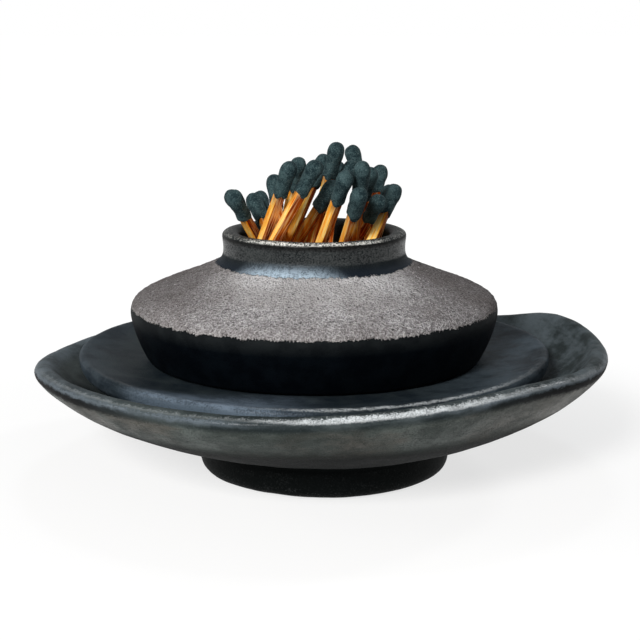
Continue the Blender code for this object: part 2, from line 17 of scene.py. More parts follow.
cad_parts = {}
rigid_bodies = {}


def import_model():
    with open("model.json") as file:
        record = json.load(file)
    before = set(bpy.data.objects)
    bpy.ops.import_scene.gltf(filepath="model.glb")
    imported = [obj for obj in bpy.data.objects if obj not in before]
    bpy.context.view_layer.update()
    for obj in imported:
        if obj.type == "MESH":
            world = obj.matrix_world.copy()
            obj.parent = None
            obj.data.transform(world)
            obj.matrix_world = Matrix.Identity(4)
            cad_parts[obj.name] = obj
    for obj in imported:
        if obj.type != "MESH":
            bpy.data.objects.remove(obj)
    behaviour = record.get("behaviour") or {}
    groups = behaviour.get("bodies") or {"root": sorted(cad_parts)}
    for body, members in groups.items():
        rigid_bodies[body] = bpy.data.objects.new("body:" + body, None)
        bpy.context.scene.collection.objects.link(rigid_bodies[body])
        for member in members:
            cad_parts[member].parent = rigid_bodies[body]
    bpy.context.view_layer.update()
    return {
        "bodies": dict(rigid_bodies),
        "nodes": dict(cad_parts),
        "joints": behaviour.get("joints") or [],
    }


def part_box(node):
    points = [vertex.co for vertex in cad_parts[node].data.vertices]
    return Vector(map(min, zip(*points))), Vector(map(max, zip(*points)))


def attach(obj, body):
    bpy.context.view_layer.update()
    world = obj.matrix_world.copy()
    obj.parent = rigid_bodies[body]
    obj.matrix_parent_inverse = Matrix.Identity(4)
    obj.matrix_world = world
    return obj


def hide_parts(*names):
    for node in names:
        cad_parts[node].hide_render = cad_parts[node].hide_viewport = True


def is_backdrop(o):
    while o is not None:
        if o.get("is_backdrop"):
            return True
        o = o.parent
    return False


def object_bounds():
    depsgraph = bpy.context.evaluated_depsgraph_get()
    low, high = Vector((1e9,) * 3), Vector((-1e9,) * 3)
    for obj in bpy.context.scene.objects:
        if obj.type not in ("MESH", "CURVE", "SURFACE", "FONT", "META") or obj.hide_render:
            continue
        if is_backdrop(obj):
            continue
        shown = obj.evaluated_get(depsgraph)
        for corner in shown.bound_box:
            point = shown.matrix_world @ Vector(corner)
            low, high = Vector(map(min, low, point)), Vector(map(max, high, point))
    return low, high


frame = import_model()
nodes = frame["nodes"]

# %% [markdown]
# ## Measuring before modelling
# The foot of the dish stands on z = 0, so heights are read from the floor up. The
# pot is round, so the middle of its box is its axis, and the finishes of all three
# vessels measure to the side and to the front from there. The neck grows out of
# the shoulder three quarters of the way up the pot.

# %% Measure the vessels
MM = 0.001
NECK_SHARE = 0.745

pot_low, pot_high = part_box("striker_pot")
saucer_low, saucer_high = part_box("saucer")
dish_low, dish_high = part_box("dish")
pot_axis = Vector([(low + high) / 2.0 for low, high in zip(pot_low, pot_high)])
pot_height = pot_high[2] - pot_low[2]
neck_foot = pot_low[2] + NECK_SHARE * pot_height
for vessel, low, high in (("pot", pot_low, pot_high), ("saucer", saucer_low, saucer_high),
                          ("dish", dish_low, dish_high)):
    print(vessel, round((high[0] - low[0]) / MM, 1), "mm wide,", round((high[2] - low[2]) / MM, 1), "mm high")

# %% [markdown]
# ## Arithmetic on sockets
# A procedural finish is mostly sums: this noise plus that height, cut off at a
# value. Written as nodes, a sum takes four lines. A small class that wraps a
# socket lets it be written as `noise + height`, and each sign adds its Math
# node. Everything that isn't plain arithmetic goes through one method, `node`,
# which takes the node's type, its settings and what its sockets hold.

# %% A socket that can be used in sums
class Signal:
    def __init__(self, tree, socket):
        self.tree = tree
        self.socket = socket

    def node(self, kind, settings=None, sockets=None, out=0):
        made = self.tree.nodes.new("ShaderNode" + kind)
        for name, value in (settings or {}).items():
            if name == "stops":
                set_stops(made.color_ramp, value)
            else:
                setattr(made, name, value)
        for name, value in (sockets or {}).items():
            put(self.tree, made.inputs[name], value)
        return Signal(self.tree, made.outputs[out])

    def maths(self, operation, first, second=0.0):
        return self.node("Math", {"operation": operation}, {0: first, 1: second})

    def __add__(self, other):
        return self.maths("ADD", self, other)

    def __radd__(self, other):
        return self.maths("ADD", other, self)

    def __sub__(self, other):
        return self.maths("SUBTRACT", self, other)

    def __rsub__(self, other):
        return self.maths("SUBTRACT", other, self)

    def __mul__(self, other):
        return self.maths("MULTIPLY", self, other)

    def __rmul__(self, other):
        return self.maths("MULTIPLY", other, self)


def put(tree, socket, value):
    """Link a signal into a socket, or set the socket's own value."""
    if isinstance(value, Signal):
        tree.links.new(value.socket, socket)
    elif isinstance(value, tuple) and len(value) == 3 and socket.type == "RGBA":
        socket.default_value = (*value, 1.0)
    else:
        socket.default_value = value


def set_stops(ramp, stops):
    """Give a colour ramp its stops, each a place and a colour."""
    while len(ramp.elements) > 1:
        ramp.elements.remove(ramp.elements[0])
    for index, (place, colour) in enumerate(stops):
        stop = ramp.elements[0] if index == 0 else ramp.elements.new(place)
        stop.position = place
        stop.color = (*colour, 1.0)


# %% [markdown]
# A few sums come back in every finish: cutting a signal softly between two
# values, mixing two colours, and cloudy noise. They get a name each.

# %% The finishes' own tools
def new_finish(name):
    """A new material, its Principled shader and a signal to build from."""
    material = bpy.data.materials.new(name)
    material.use_nodes = True
    tree = material.node_tree
    shader = tree.nodes["Principled BSDF"]
    place = Signal(tree, None).node("TexCoord", out="Object")
    return material, shader, place


def set_shader(shader, **values):
    """Set the shader's sockets. An underscore in a name stands for a space."""
    for name, value in values.items():
        put(shader.id_data, shader.inputs[name.replace("_", " ")], value)


def between(signal, low, high):
    """0 below low, 1 above high, and a soft step from one to the other."""
    return signal.node("MapRange", {"interpolation_type": "SMOOTHSTEP"},
                       {"Value": signal, "From Min": low, "From Max": high})


def mix(mask, first, second):
    """The first colour where the mask is 0, and the second where it is 1."""
    return mask.node("Mix", {"data_type": "RGBA"}, {0: mask, 6: first, 7: second}, out=2)


def cloud(place, size, detail=3.0, roughness=0.5):
    """Cloudy noise whose lumps are about this many metres across."""
    return place.node("TexNoise", None, {"Vector": place, "Scale": 1.0 / size, "Detail": detail,
                                         "Roughness": roughness}, out="Fac")


def along(place, axis):
    """One of the three coordinates of a place."""
    return place.node("SeparateXYZ", None, {"Vector": place}, out=axis)


def stretched(place, x, y, z):
    """The place with each coordinate multiplied, which stretches a pattern."""
    return place.node("VectorMath", {"operation": "MULTIPLY"}, {0: place, 1: (x, y, z)})


def to_side(place):
    """Metres to the right of the pot's axis."""
    return along(place, "X") - pot_axis.x


def to_front(place):
    """Metres from the pot's axis towards the camera."""
    return pot_axis.y - along(place, "Y")


def without_sign(signal):
    """How large the signal is, above or below 0."""
    return signal.maths("ABSOLUTE", signal)


def dimmed(colour, share):
    """A colour multiplied, darker below 1 and lighter above."""
    return tuple(part * share for part in colour)


def attribute(place, name, out="Fac"):
    """What was kept on the mesh under this name."""
    return place.node("Attribute", {"attribute_name": name}, None, out=out)


def bump(height, distance, strength=1.0, normal=None):
    """A bump of this many metres, laid over an earlier one."""
    sockets = {"Height": height, "Distance": distance, "Strength": strength}
    if normal is not None:
        sockets["Normal"] = normal
    return height.node("Bump", None, sockets)


# %% [markdown]
# ## Why the glazes hardly shine
# These surfaces are seen almost edge on, where even a dull black mirrors the
# white room behind it and turns grey. A satin stoneware glaze is full of fine
# crystals that break this up. So the body of each glaze keeps a low specular
# level and a high roughness, and its clear coat does the shining: Coat Weight is
# a mask, high only where the glaze runs thin over an edge or a crystal faces up.

# %% [markdown]
# ## Bare clay and black glaze on one pot
# The potter waxes or wipes the shoulder before glazing, so the glaze stops in
# two ragged lines: one where the neck grows out of the shoulder, one along the
# widest edge. Between them the clay is bare and full of grog, crushed fired clay
# that leaves pale specks, dark pits and a surface like sandpaper. The clay is
# painted lighter below the neck at the front, as painted light, and darker at the
# sides and behind, as painted shade.
# The pot's mesh carries three attributes for this. `bare` says how far a point is
# inside the bare band in metres, `rim` how far it is below the lip, and `crest`
# is 1 on edges. Noise added to the first two makes every line ragged.

# %% The pot's clay
def clay_tone(place, bare):
    """Grog, grains and pits, and the height that the bump takes from them."""
    lumps_of_grog = cloud(place, 1.5 * MM, 3.0, 0.75)
    grit = cloud(place, 0.52 * MM, 2.0, 0.75)
    grains = cloud(place, 0.33 * MM, 1.0)
    patch = cloud(place, 12.0 * MM, 3.0)
    front = to_front(place)
    # Painted light: the clay is paler below the neck at the front.
    painted_front_light = between(along(place, "Z"), neck_foot - 8.0 * MM, neck_foot - 1.0 * MM)
    painted_front_light = painted_front_light * between(front, 4.0 * MM, 18.0 * MM)
    painted_front_light = painted_front_light * (1.0 - between(without_sign(to_side(place)), 12.0 * MM, 32.0 * MM))
    speckle = lumps_of_grog * 0.28 + grit * 0.40 + grains * 0.32
    tone = grit.node("ValToRGB", {"stops": (
        (0.36, (0.070, 0.063, 0.064)),
        (0.45, (0.215, 0.203, 0.206)),
        (0.53, (0.370, 0.355, 0.362)),
        (0.63, (0.720, 0.705, 0.715)),
    )}, {"Fac": speckle + painted_front_light * 0.110 + 0.014})
    tone = mix(between(patch, 0.42, 0.62) * 0.35, tone, (0.175, 0.153, 0.148))
    # Painted shade: the clay is darker at the sides and behind.
    darker = (1.0 - between(front, 8.0 * MM, 38.0 * MM)) * (1.0 - painted_front_light * 0.85)
    tone = mix(darker * 0.56, tone, (0.118, 0.102, 0.097))
    chips = between(cloud(place, 0.85 * MM, 1.0), 0.68, 0.74)
    tone = mix(chips * 0.7, tone, (0.720, 0.690, 0.680))
    pits = 1.0 - between(cloud(place, 1.15 * MM, 2.0, 0.6), 0.282, 0.322)
    tone = mix(pits * 0.92, tone, (0.016, 0.013, 0.013))
    edge = (1.0 - between(bare, 0.0, 0.8 * MM)) * between(grains, 0.40, 0.60)
    tone = mix(edge * 0.35, tone, (0.600, 0.570, 0.550))
    return tone, lumps_of_grog * 0.6 + grit * 1.3 + grains * 0.4 + chips * 0.3 - pits * 1.1


# %% [markdown]
# The glaze ran while it was molten. It is black on the wall, with a painted sheen
# just below the bare clay, and a thin grey on the neck. At the neck's foot it lies
# thick and a shade bluer, and a little left of the front a milky blue painted
# reflection of the sky lies on it. On the lip there is a dark top, a painted
# highlight along the outer edge, brightest at the front, and a dark line below.

# %% The pot's glaze
SKY_REFLECTION_WAY = (-0.27, 0.963)    # to the right and to the front, seen from the axis


def pot_glaze(place, bare, rim, dust):
    """The glaze's colour, and 1 on the collar, which is the neck's grey part."""
    height = along(place, "Z")
    mottle = cloud(place, 5.0 * MM, 4.0, 0.6)
    drips = cloud(stretched(place, 1.0, 1.0, 0.30), 0.8 * MM, 3.0, 0.6)
    glaze = mix(between(mottle, 0.35, 0.70), (0.0005, 0.0011, 0.0020), (0.0016, 0.0028, 0.0042))
    # Painted sheen: a dark grey band on the black wall just below the bare clay.
    painted_sheen_under_clay = between(bare, -4.5 * MM, -0.2 * MM) * (0.55 + 0.45 * between(mottle, 0.40, 0.60))
    glaze = mix(painted_sheen_under_clay * 0.9, glaze, (0.0105, 0.0125, 0.0135))
    collar = between(height, neck_foot + 0.5 * MM, neck_foot + 3.2 * MM)
    grey = between(mottle * 0.5 + dust * 0.5, 0.36, 0.66)
    glaze = mix(collar, glaze, mix(grey, (0.006, 0.008, 0.009), (0.026, 0.030, 0.030)))
    at_foot = between(height, neck_foot - 3.0 * MM, neck_foot - 1.5 * MM)
    thick = (1.0 - between(height, neck_foot - 0.2 * MM, neck_foot + 3.4 * MM)) * at_foot
    glaze = mix(thick * 0.7, glaze, (0.012, 0.018, 0.027))
    # Painted reflection: a milky blue patch of sky on the neck's foot, a little left of the front.
    run = to_side(place) * SKY_REFLECTION_WAY[0] + to_front(place) * SKY_REFLECTION_WAY[1]
    reflection_breakup = between(drips * 0.5 + dust * 0.5, 0.38, 0.56)
    painted_sky_reflection = thick * between(run, 18.0 * MM, 23.2 * MM) * (0.40 + 0.60 * reflection_breakup)
    glaze = mix(painted_sky_reflection, glaze, (0.470, 0.590, 0.700))
    top = 1.0 - between(rim, -0.1 * MM, 0.35 * MM)
    top_tone = mix(between(dust, 0.3, 0.7), (0.009, 0.011, 0.011), (0.027, 0.029, 0.028))
    glaze = mix(top * 0.8, glaze, top_tone)
    under = between(rim, 0.45 * MM, 0.75 * MM) * (1.0 - between(rim, 1.2 * MM, 2.4 * MM))
    glaze = mix(under * 0.85, glaze, (0.003, 0.003, 0.003))
    # Painted highlight: a pale broken line along the lip's outer edge, brightest at the front.
    front = between(to_front(place), 12.0 * MM, 19.0 * MM)
    line = between(rim, 0.02 * MM, 0.20 * MM) * (1.0 - between(rim, 0.45 * MM, 0.80 * MM))
    line = line * between(dust * 0.6 + drips * 0.4, 0.50 - 0.10 * front, 0.58)
    glaze = mix(line * (0.25 + 0.75 * front), glaze, (0.860, 0.850, 0.800))
    return glaze, collar


# %% [markdown]
# Clay and glaze meet where `bare` crosses 0, moved by two noises: a slow one lets
# the line wander, a fine one frays it. The clay is rough and takes a deep bump,
# the glaze is smoother, and the neck's glaze has a waxy shine.

# %% The pot's finish
def pot_finish():
    material, shader, place = new_finish("clay_and_glaze")
    bare = attribute(place, "bare")
    rim = attribute(place, "rim")
    crest = attribute(place, "crest")
    dust = cloud(place, 0.34 * MM, 2.0, 0.65)
    wander = (cloud(place, 3.4 * MM, 3.0) - 0.5) * 1.5 * MM
    fray = (cloud(stretched(place, 1.0, 1.0, 0.7), 0.45 * MM, 2.0) - 0.5) * 1.5 * MM
    clay = between(bare + wander + fray, -0.06 * MM, 0.10 * MM)
    tone, relief = clay_tone(place, bare)
    ragged = rim + (dust - 0.5) * 0.8 * MM
    glaze, collar = pot_glaze(place, bare, ragged, dust)
    rough = (0.60 + (dust - 0.5) * 0.30) * (1.0 - clay) + 0.95 * clay
    ridges = bump(cloud(stretched(place, 0.3, 0.3, 1.0), 1.2 * MM, 2.0), 0.10 * MM, 0.5)
    skin = bump(dust * (1.0 - clay) * 0.30 + relief * clay * 2.1, 0.34 * MM, 1.0, ridges)
    waxy = between(collar, 0.75, 1.0) * between(dust, 0.30, 0.66)
    waxy = waxy * (0.15 + 0.85 * between(rim, 0.8 * MM, 2.2 * MM))
    shine = crest * between(dust, 0.40, 0.62) * 0.15 + waxy * 0.85 + 0.006
    set_shader(shader, Base_Color=mix(clay, glaze, tone), Roughness=rough, Normal=skin,
               Specular_IOR_Level=0.02, Coat_Weight=shine * (1.0 - clay), Coat_Roughness=0.26)
    return material


# %% [markdown]
# ## The black glaze of the saucer and dish
# It is a satin black: dark where it lies thick, slate where it thins over an
# edge, and broken by fine crystals that catch the light as silver dust. All of
# it follows the lip, whose distance the attribute `rim` holds. Along the lip's
# outer edge runs a painted highlight, a broken silver line, faint at the left and
# bright from the front middle to the right, and pale paint on the crests of edges
# stands for glints. Below the line lies a slate band, and below the band, at both
# far sides, a dark, ragged line.
#
# The finish is built in three steps: the patterns that all of it shares, the
# colours of the inside and the wall, and the lines along the lip. A small class,
# `Patterns`, carries what the first step made to the others.

# %% Patterns that the glazes share
class Patterns:
    """The places, masks and noises of one glazed vessel."""

    def __init__(self, place):
        self.rim = attribute(place, "rim")
        self.crest = attribute(place, "crest")
        self.height = along(place, "Z")
        self.side = to_side(place)
        self.dust = cloud(place, 0.36 * MM, 2.0, 0.7)
        self.glitter = cloud(place, 0.17 * MM, 1.0)
        self.wander = cloud(place, 2.4 * MM, 3.0)
        self.smear = cloud(stretched(place, 0.5, 0.5, 1.6), 3.0 * MM, 4.0, 0.65)
        self.hue = cloud(place, 17.0 * MM, 2.0)
        mottle = cloud(place, 11.0 * MM, 4.0, 0.6)
        self.patchy = between(mottle * 0.6 + self.smear * 0.4, 0.38, 0.62)
        front = to_front(place)
        self.at_front = between(front, 8.0 * MM, 40.0 * MM)
        far_front = between(front, 35.0 * MM, 46.0 * MM)
        self.front_left = far_front * (1.0 - between(self.side, -17.0 * MM, 5.0 * MM))
        self.right = between(self.side, -18.0 * MM, 4.0 * MM)
        self.far_side = between(without_sign(self.side), 26.0 * MM, 52.0 * MM)


# %% [markdown]
# Inside, the glaze is patchy: thick and nearly black, or thin and slate. It is
# painted paler towards the right as painted light, on the lip at the far left as
# a painted reflection, and on the saucer's front left as a painted sheen. Outside
# it has a cool and a warm tone, dark patches, and a black foot and lower wall,
# partly the foot's dark glaze and partly painted shade under the bowl, and it is
# painted paler towards the far right as a painted sheen.

# %% The inside and the wall
def glaze_inside(see, deep, thin, edge, painted_shade_and_sheen):
    """The colour inside the lip."""
    colour = mix(see.patchy, deep, thin)
    # Painted light: the inside is paler towards the right.
    colour = mix(between(see.side, 10.0 * MM, 60.0 * MM) * 0.55 * see.patchy, colour, edge)
    # Painted reflection: pale slate just inside the lip at the far left.
    painted_left_reflection = 1.0 - between(see.rim * -1.0, 0.2 * MM, 2.6 * MM)
    painted_left_reflection = painted_left_reflection * (1.0 - between(see.side, -64.0 * MM, -34.0 * MM))
    colour = mix(painted_left_reflection * (0.25 + 0.75 * see.patchy) * (0.85 - painted_shade_and_sheen * 0.4), colour, edge)
    # Painted sheen: a pale blue patch on the saucer's face at its front left, near the rim.
    painted_sheen = see.front_left * (0.35 + 0.65 * between(see.dust * 0.5 + see.smear * 0.5, 0.42, 0.56))
    return mix(painted_sheen * painted_shade_and_sheen, colour, (edge[0] * 2.1, edge[1] * 2.0, edge[2] * 2.0))


def glaze_outside(see, cool, warm, foot_and_painted_shade):
    """The colour of the wall below the lip, and of the foot."""
    tone = mix(between(see.hue * 0.7 + see.smear * 0.3, 0.42, 0.60), cool, warm)
    # Painted sheen: the wall is paler towards the far right, where it turns away from view.
    tone = mix(between(see.side, 26.0 * MM, 60.0 * MM) * 0.75, tone, dimmed(warm, 2.0))
    dark = dimmed(cool, 0.3)
    tone = mix((1.0 - see.patchy) * 0.62, tone, dark)
    tone = mix((1.0 - between(see.dust * 0.5 + see.wander * 0.5, 0.38, 0.54)) * 0.5, tone, dark)
    # Black on the foot and the lower wall: partly the foot's dark glaze, partly painted shade under the bowl.
    return mix(1.0 - between(see.height, 16.5 * MM, 21.0 * MM), tone, foot_and_painted_shade)


# %% [markdown]
# The lines along the lip are cut from `rim` with noise added, coarse noise for
# their wandering and fine noise for their ragged edges. Each function gives a
# mask, which later serves twice: for the colour and for the coat's shine.

# %% The lines along the lip
def slate_band(see, ragged, band_end, painted_shade_and_sheen):
    """The slate band below the lip, where the glaze thins. It fades out in the front middle. On the saucer
    the last argument dims it as painted shade, except at the front left, where it stays pale as painted
    light.
    """
    band = between(ragged, 0.4 * MM, 1.1 * MM)
    band = band * (1.0 - between(ragged, band_end - 0.8 * MM, band_end + 0.2 * MM))
    # Painted shade on the saucer: the band is dimmed except at the front left, where it stays pale as painted
    # light.
    band = band * (1.0 - painted_shade_and_sheen * (1.0 - see.front_left))
    middle = between(see.side, -26.0 * MM, -6.0 * MM) * (1.0 - between(see.side, 16.0 * MM, 40.0 * MM))
    return band * (1.0 - 0.85 * middle)


def dark_line(see, ragged, band_end, painted_shade_and_sheen):
    """A dark ragged line below the band, at both far sides."""
    under = between(ragged, band_end - 1.0 * MM, band_end - 0.3 * MM)
    under = under * (1.0 - between(ragged, band_end + 0.6 * MM, band_end + 1.8 * MM))
    return under * see.far_side * (1.0 - painted_shade_and_sheen)


def painted_highlight_line(see, line_span, line_level):
    """A painted highlight: the broken line on the lip's outer edge, and how strong it is all round."""
    thread = see.rim + (see.dust - 0.5) * 1.0 * MM + (see.wander - 0.5) * 0.6 * MM
    start, end = line_span
    lower = see.right * (end - start) * 0.45 + start + (end - start) * 0.55
    line = between(thread, start, start + 0.30 * MM) * (1.0 - between(thread - lower, -0.45 * MM, 0.0))
    behind, left, right = line_level
    fading = 1.0 - 0.85 * see.far_side * see.right
    return line, behind + see.at_front * (left + (right - left) * see.right) * fading


# %% [markdown]
# Last, the whole finish lays these over one another. Its numbers are what tells
# the saucer's glaze from the dish's.

# %% The glazes
def glaze_finish(name, deep, thin, edge, wall, foot_and_painted_shade, band_end, line_span, line_level, painted_shade_and_sheen):
    """A satin glaze for a vessel, inside and out.

    `deep` and `thin` are the inside's colours and `edge` the lip's. `wall` is a cool tone
    and a warm one; the colour after it is the foot's and the lower wall's, whose
    blackness is partly the foot's dark glaze and partly painted shade under the bowl.
    `line_span` is where the painted highlight line starts and ends below the lip, and
    `line_level` how strong it is behind, at the left and at the right. The last number,
    from 0 to 1, is the saucer's painted shade and sheen: it dims the band and the painted
    reflection on the left lip, leaves out the dark line, and lets a painted sheen stand
    out pale at the front left.
    """
    material, shader, place = new_finish(name)
    see = Patterns(place)
    outside = between(see.rim, band_end, band_end + 1.6 * MM)
    colour = mix(outside, glaze_inside(see, deep, thin, edge, painted_shade_and_sheen), glaze_outside(see, *wall, foot_and_painted_shade))
    speckle = between(see.dust, 0.56, 0.74) * between(see.height, 16.0 * MM, 21.0 * MM)
    colour = mix(speckle * 0.18, colour, edge)

    ragged = see.rim + (see.wander - 0.5) * 1.3 * MM + (see.dust - 0.5) * 1.8 * MM
    band = slate_band(see, ragged, band_end, painted_shade_and_sheen)
    colour = mix(band * (0.40 + 0.60 * between(see.dust * 0.5 + see.smear * 0.5, 0.40, 0.58)), colour, edge)
    under = dark_line(see, ragged, band_end, painted_shade_and_sheen)
    colour = mix(under * 0.96, colour, (0.003, 0.003, 0.003))
    # Painted highlight: the broken silver line along the lip's outer edge, broken up by noise.
    line, level = painted_highlight_line(see, line_span, line_level)
    highlight_breakup = between(see.dust * 0.40 + see.wander * 0.30 + see.glitter * 0.30, 0.42, 0.59)
    colour = mix(line * (0.36 + 0.64 * highlight_breakup) * level, colour, (0.700, 0.740, 0.760))
    # Painted highlight: pale paint on the crests of edges stands for glints.
    on_edges = see.crest * between(see.dust * 0.6 + see.smear * 0.4, 0.54, 0.62)
    colour = mix(on_edges * 0.30, colour, (0.400, 0.430, 0.440))

    rough = 0.62 + (see.dust - 0.5) * 0.30 + (see.smear - 0.5) * 0.15
    on_wall = outside * (0.35 + 0.65 * see.patchy) * between(see.dust, 0.30, 0.60)
    on_wall = on_wall * between(see.height, 18.0 * MM, 21.5 * MM)
    shine = (line * level * 0.9 + band * 0.30 + see.crest * 0.3) * between(see.dust, 0.38, 0.62)
    shine = shine + on_wall * 0.52 + between(see.dust, 0.60, 0.78) * 0.05
    shine = shine * (1.0 - under) + 0.010
    ripple = bump(see.smear, 0.34 * MM, 0.7)
    skin = bump(see.dust, 0.12 * MM, 1.0, ripple)
    set_shader(shader, Base_Color=colour, Roughness=rough, Normal=skin,
               Specular_IOR_Level=0.03, Coat_Weight=shine, Coat_Roughness=0.24)
    return material


# %% [markdown]
# ## Dyed splints
# A splint is cut from a peeled sheet of soft wood, so two of its sides are peeled
# and two are split. Its colour carries painted light and shade: the pair of sides
# of which one looks towards the key lamp at the front left is painted amber as if
# lit, and the other pair red brown as painted shade. The arrises stay pale, and a
# little colour from the head has run into the wood below it. Each splint carries
# its own place before it was laid in the bundle as an attribute, `grain`, so the
# pattern follows the stick, and a second attribute is 1 on the pair painted as lit.

# %% The splint and head finishes
def splint_finish(head_start):
    material, shader, place = new_finish("dyed_splint")
    grain = attribute(place, "grain", "Vector")
    arris = attribute(place, "arris")
    peeled = attribute(place, "peeled")
    fibre = cloud(stretched(grain, 1.0, 1.0, 0.05), 0.30 * MM, 3.0, 0.6)
    band = cloud(stretched(grain, 1.0, 1.0, 0.16), 1.3 * MM, 2.0)
    wood = fibre * 0.32 + band * 0.68
    pale = wood.node("ValToRGB", {"stops": (
        (0.35, (0.640, 0.110, 0.004)),
        (0.43, (0.940, 0.320, 0.018)),
        (0.52, (1.000, 0.500, 0.065)),
        (0.62, (1.000, 0.740, 0.250)),
    )}, {"Fac": wood})
    dark = wood.node("ValToRGB", {"stops": (
        (0.37, (0.120, 0.010, 0.001)),
        (0.46, (0.330, 0.045, 0.002)),
        (0.55, (0.600, 0.140, 0.008)),
        (0.65, (0.880, 0.340, 0.030)),
    )}, {"Fac": wood})
    # Painted light and shade: amber on the pair of sides painted as lit, red brown on the other pair.
    tone = mix(between(peeled, 0.35, 0.65), dark, pale)
    up = along(grain, "Z")
    stain = between(up, head_start - 5.0 * MM, head_start) * between(wood, 0.42, 0.54)
    tone = mix(stain * 0.85, tone, (0.190, 0.022, 0.005))
    tone = mix(arris * between(fibre, 0.48, 0.62) * 0.6, tone, (0.960, 0.740, 0.360))
    skin = bump(fibre, 0.12 * MM, 1.0)
    set_shader(shader, Base_Color=tone, Roughness=0.62, Normal=skin, Specular_IOR_Level=0.05)
    return material


def head_finish():
    material, shader, place = new_finish("match_compound")
    powder = cloud(place, 0.30 * MM, 2.0, 0.65)
    lump = cloud(place, 1.8 * MM, 2.0)
    uneven = between(powder * 0.5 + lump * 0.5, 0.38, 0.62)
    colour = mix(uneven, (0.009, 0.021, 0.025), (0.046, 0.080, 0.085))
    colour = mix(between(powder, 0.58, 0.72) * 0.5, colour, (0.140, 0.190, 0.190))
    skin = bump(powder, 0.07 * MM, 0.9, bump(lump, 0.14 * MM, 0.6))
    set_shader(shader, Base_Color=colour, Roughness=0.88, Normal=skin, Specular_IOR_Level=0.12)
    return material


# %% [markdown]
# ## From the working model to a thrown wall
# The working model of each vessel has 64 facets round, enough to stand and to
# move but not to look at. Throwing it again would lose the pressed lip of the
# dish, so a copy of each is the blank. The copy's loose triangles are merged and
# turned back into squares, and Subdivision Surface rounds them, as a potter's rib
# does.

# %% Take a blank from a node
PAIRING_ANGLE = math.radians(60.0)    # two triangles that meet flatter than this become a square


def only(piece):
    """Select this object alone and make it the active one."""
    bpy.ops.object.select_all(action="DESELECT")
    piece.select_set(True)
    bpy.context.view_layer.objects.active = piece


def blank_from(node, name):
    """A merged copy of a node's mesh, in squares again."""
    mesh = nodes[node].data.copy()
    mesh.materials.clear()
    for layer in list(mesh.attributes):
        if layer.name.startswith("custom") or layer.name == "sharp_edge":
            mesh.attributes.remove(layer)
    piece = bpy.data.objects.new(name, mesh)
    bpy.context.scene.collection.objects.link(piece)
    only(piece)
    bpy.ops.object.mode_set(mode="EDIT")
    bpy.ops.mesh.select_all(action="SELECT")
    bpy.ops.mesh.remove_doubles(threshold=0.02 * MM)
    bpy.ops.mesh.tris_convert_to_quads(face_threshold=PAIRING_ANGLE, shape_threshold=PAIRING_ANGLE)
    bpy.ops.object.mode_set(mode="OBJECT")
    return piece


def smooth_by(piece, levels):
    """Round the piece with Subdivision Surface and apply it."""
    only(piece)
    modifier = piece.modifiers.new("Rounding", "SUBSURF")
    modifier.levels = levels
    modifier.render_levels = levels
    bpy.ops.object.modifier_apply(modifier=modifier.name)


# %% [markdown]
# ## Sculpting with arrays
# Clay is never quite even. Moving thousands of points one at a time is slow in
# Python, so the points are read into an array, moved along their normals, and
# written back. The same arrays give the `crest` attribute: where a point stands
# proud of the middle of its neighbours, the surface is an edge.

# %% Read, move and mark points
def points_of(piece):
    points = np.empty(len(piece.data.vertices) * 3)
    piece.data.vertices.foreach_get("co", points)
    return points.reshape(-1, 3)


def normals_of(piece):
    normals = np.empty(len(piece.data.vertices) * 3)
    piece.data.vertices.foreach_get("normal", normals)
    return normals.reshape(-1, 3)


def move_points(piece, points):
    piece.data.vertices.foreach_set("co", points.ravel())
    piece.data.update()


def mark(piece, name, values):
    """Keep one value a point on the mesh, for its finish to read."""
    layer = piece.data.attributes.new(name, "FLOAT", "POINT")
    layer.data.foreach_set("value", np.asarray(values, dtype=np.float32))


def lumps(points, size, seed):
    """Noise between -1 and 1 at each point, with lumps of this size."""
    return np.array([noise.noise(Vector(point) / size + Vector((seed, seed, seed))) for point in points])


def crest_of(piece, full):
    """1 on edges as tight as this radius in metres, and 0 on flat and hollow places."""
    points = points_of(piece)
    normals = normals_of(piece)
    edges = np.empty(len(piece.data.edges) * 2, dtype=np.int64)
    piece.data.edges.foreach_get("vertices", edges)
    first, second = edges.reshape(-1, 2).T
    total = np.zeros_like(points)
    count = np.zeros(len(points))
    reach = np.zeros(len(points))
    for a, b in ((first, second), (second, first)):
        np.add.at(total, a, points[b])
        np.add.at(count, a, 1.0)
        np.add.at(reach, a, ((points[b] - points[a]) ** 2).sum(1))
    proud = ((points - total / count[:, None]) * normals).sum(1)
    curve = 2.0 * proud / (reach / count)
    return np.clip(curve * full, 0.0, 1.0)


# %% [markdown]
# The dish's lip rises and falls, so how far a point lies below it depends on the
# side. The highest point is looked up in narrow sectors all round the axis, and
# every point is measured from the height that the lip has beside it.

# %% How far below the rim
RIM_STOPS = 97


def from_axis(points, axis):
    """How far each point lies to the right of an axis, behind it, and from it."""
    side = points[:, 0] - axis.x
    depth = points[:, 1] - axis.y
    return side, depth, np.hypot(side, depth)


def facing_out(normals, side, depth, radius):
    """1 where a normal points straight away from the axis, and -1 straight towards it."""
    return (normals[:, 0] * side + normals[:, 1] * depth) / radius.clip(MM)


def rim_depth(piece, axis):
    """How far each point lies below the rim next to it: positive outside, negative inside."""
    points = points_of(piece)
    normals = normals_of(piece)
    side, depth, radius = from_axis(points, axis)
    angle = np.arctan2(depth, side)
    stops = np.linspace(-math.pi, math.pi, RIM_STOPS)
    half = math.pi / (RIM_STOPS - 1)
    tops = [points[abs(np.angle(np.exp(1j * (angle - stop)))) < half, 2].max() for stop in stops]
    out = facing_out(normals, side, depth, radius)
    return (np.interp(angle, stops, tops) - points[:, 2]) * np.where(out > 0.04, 1.0, -1.0)


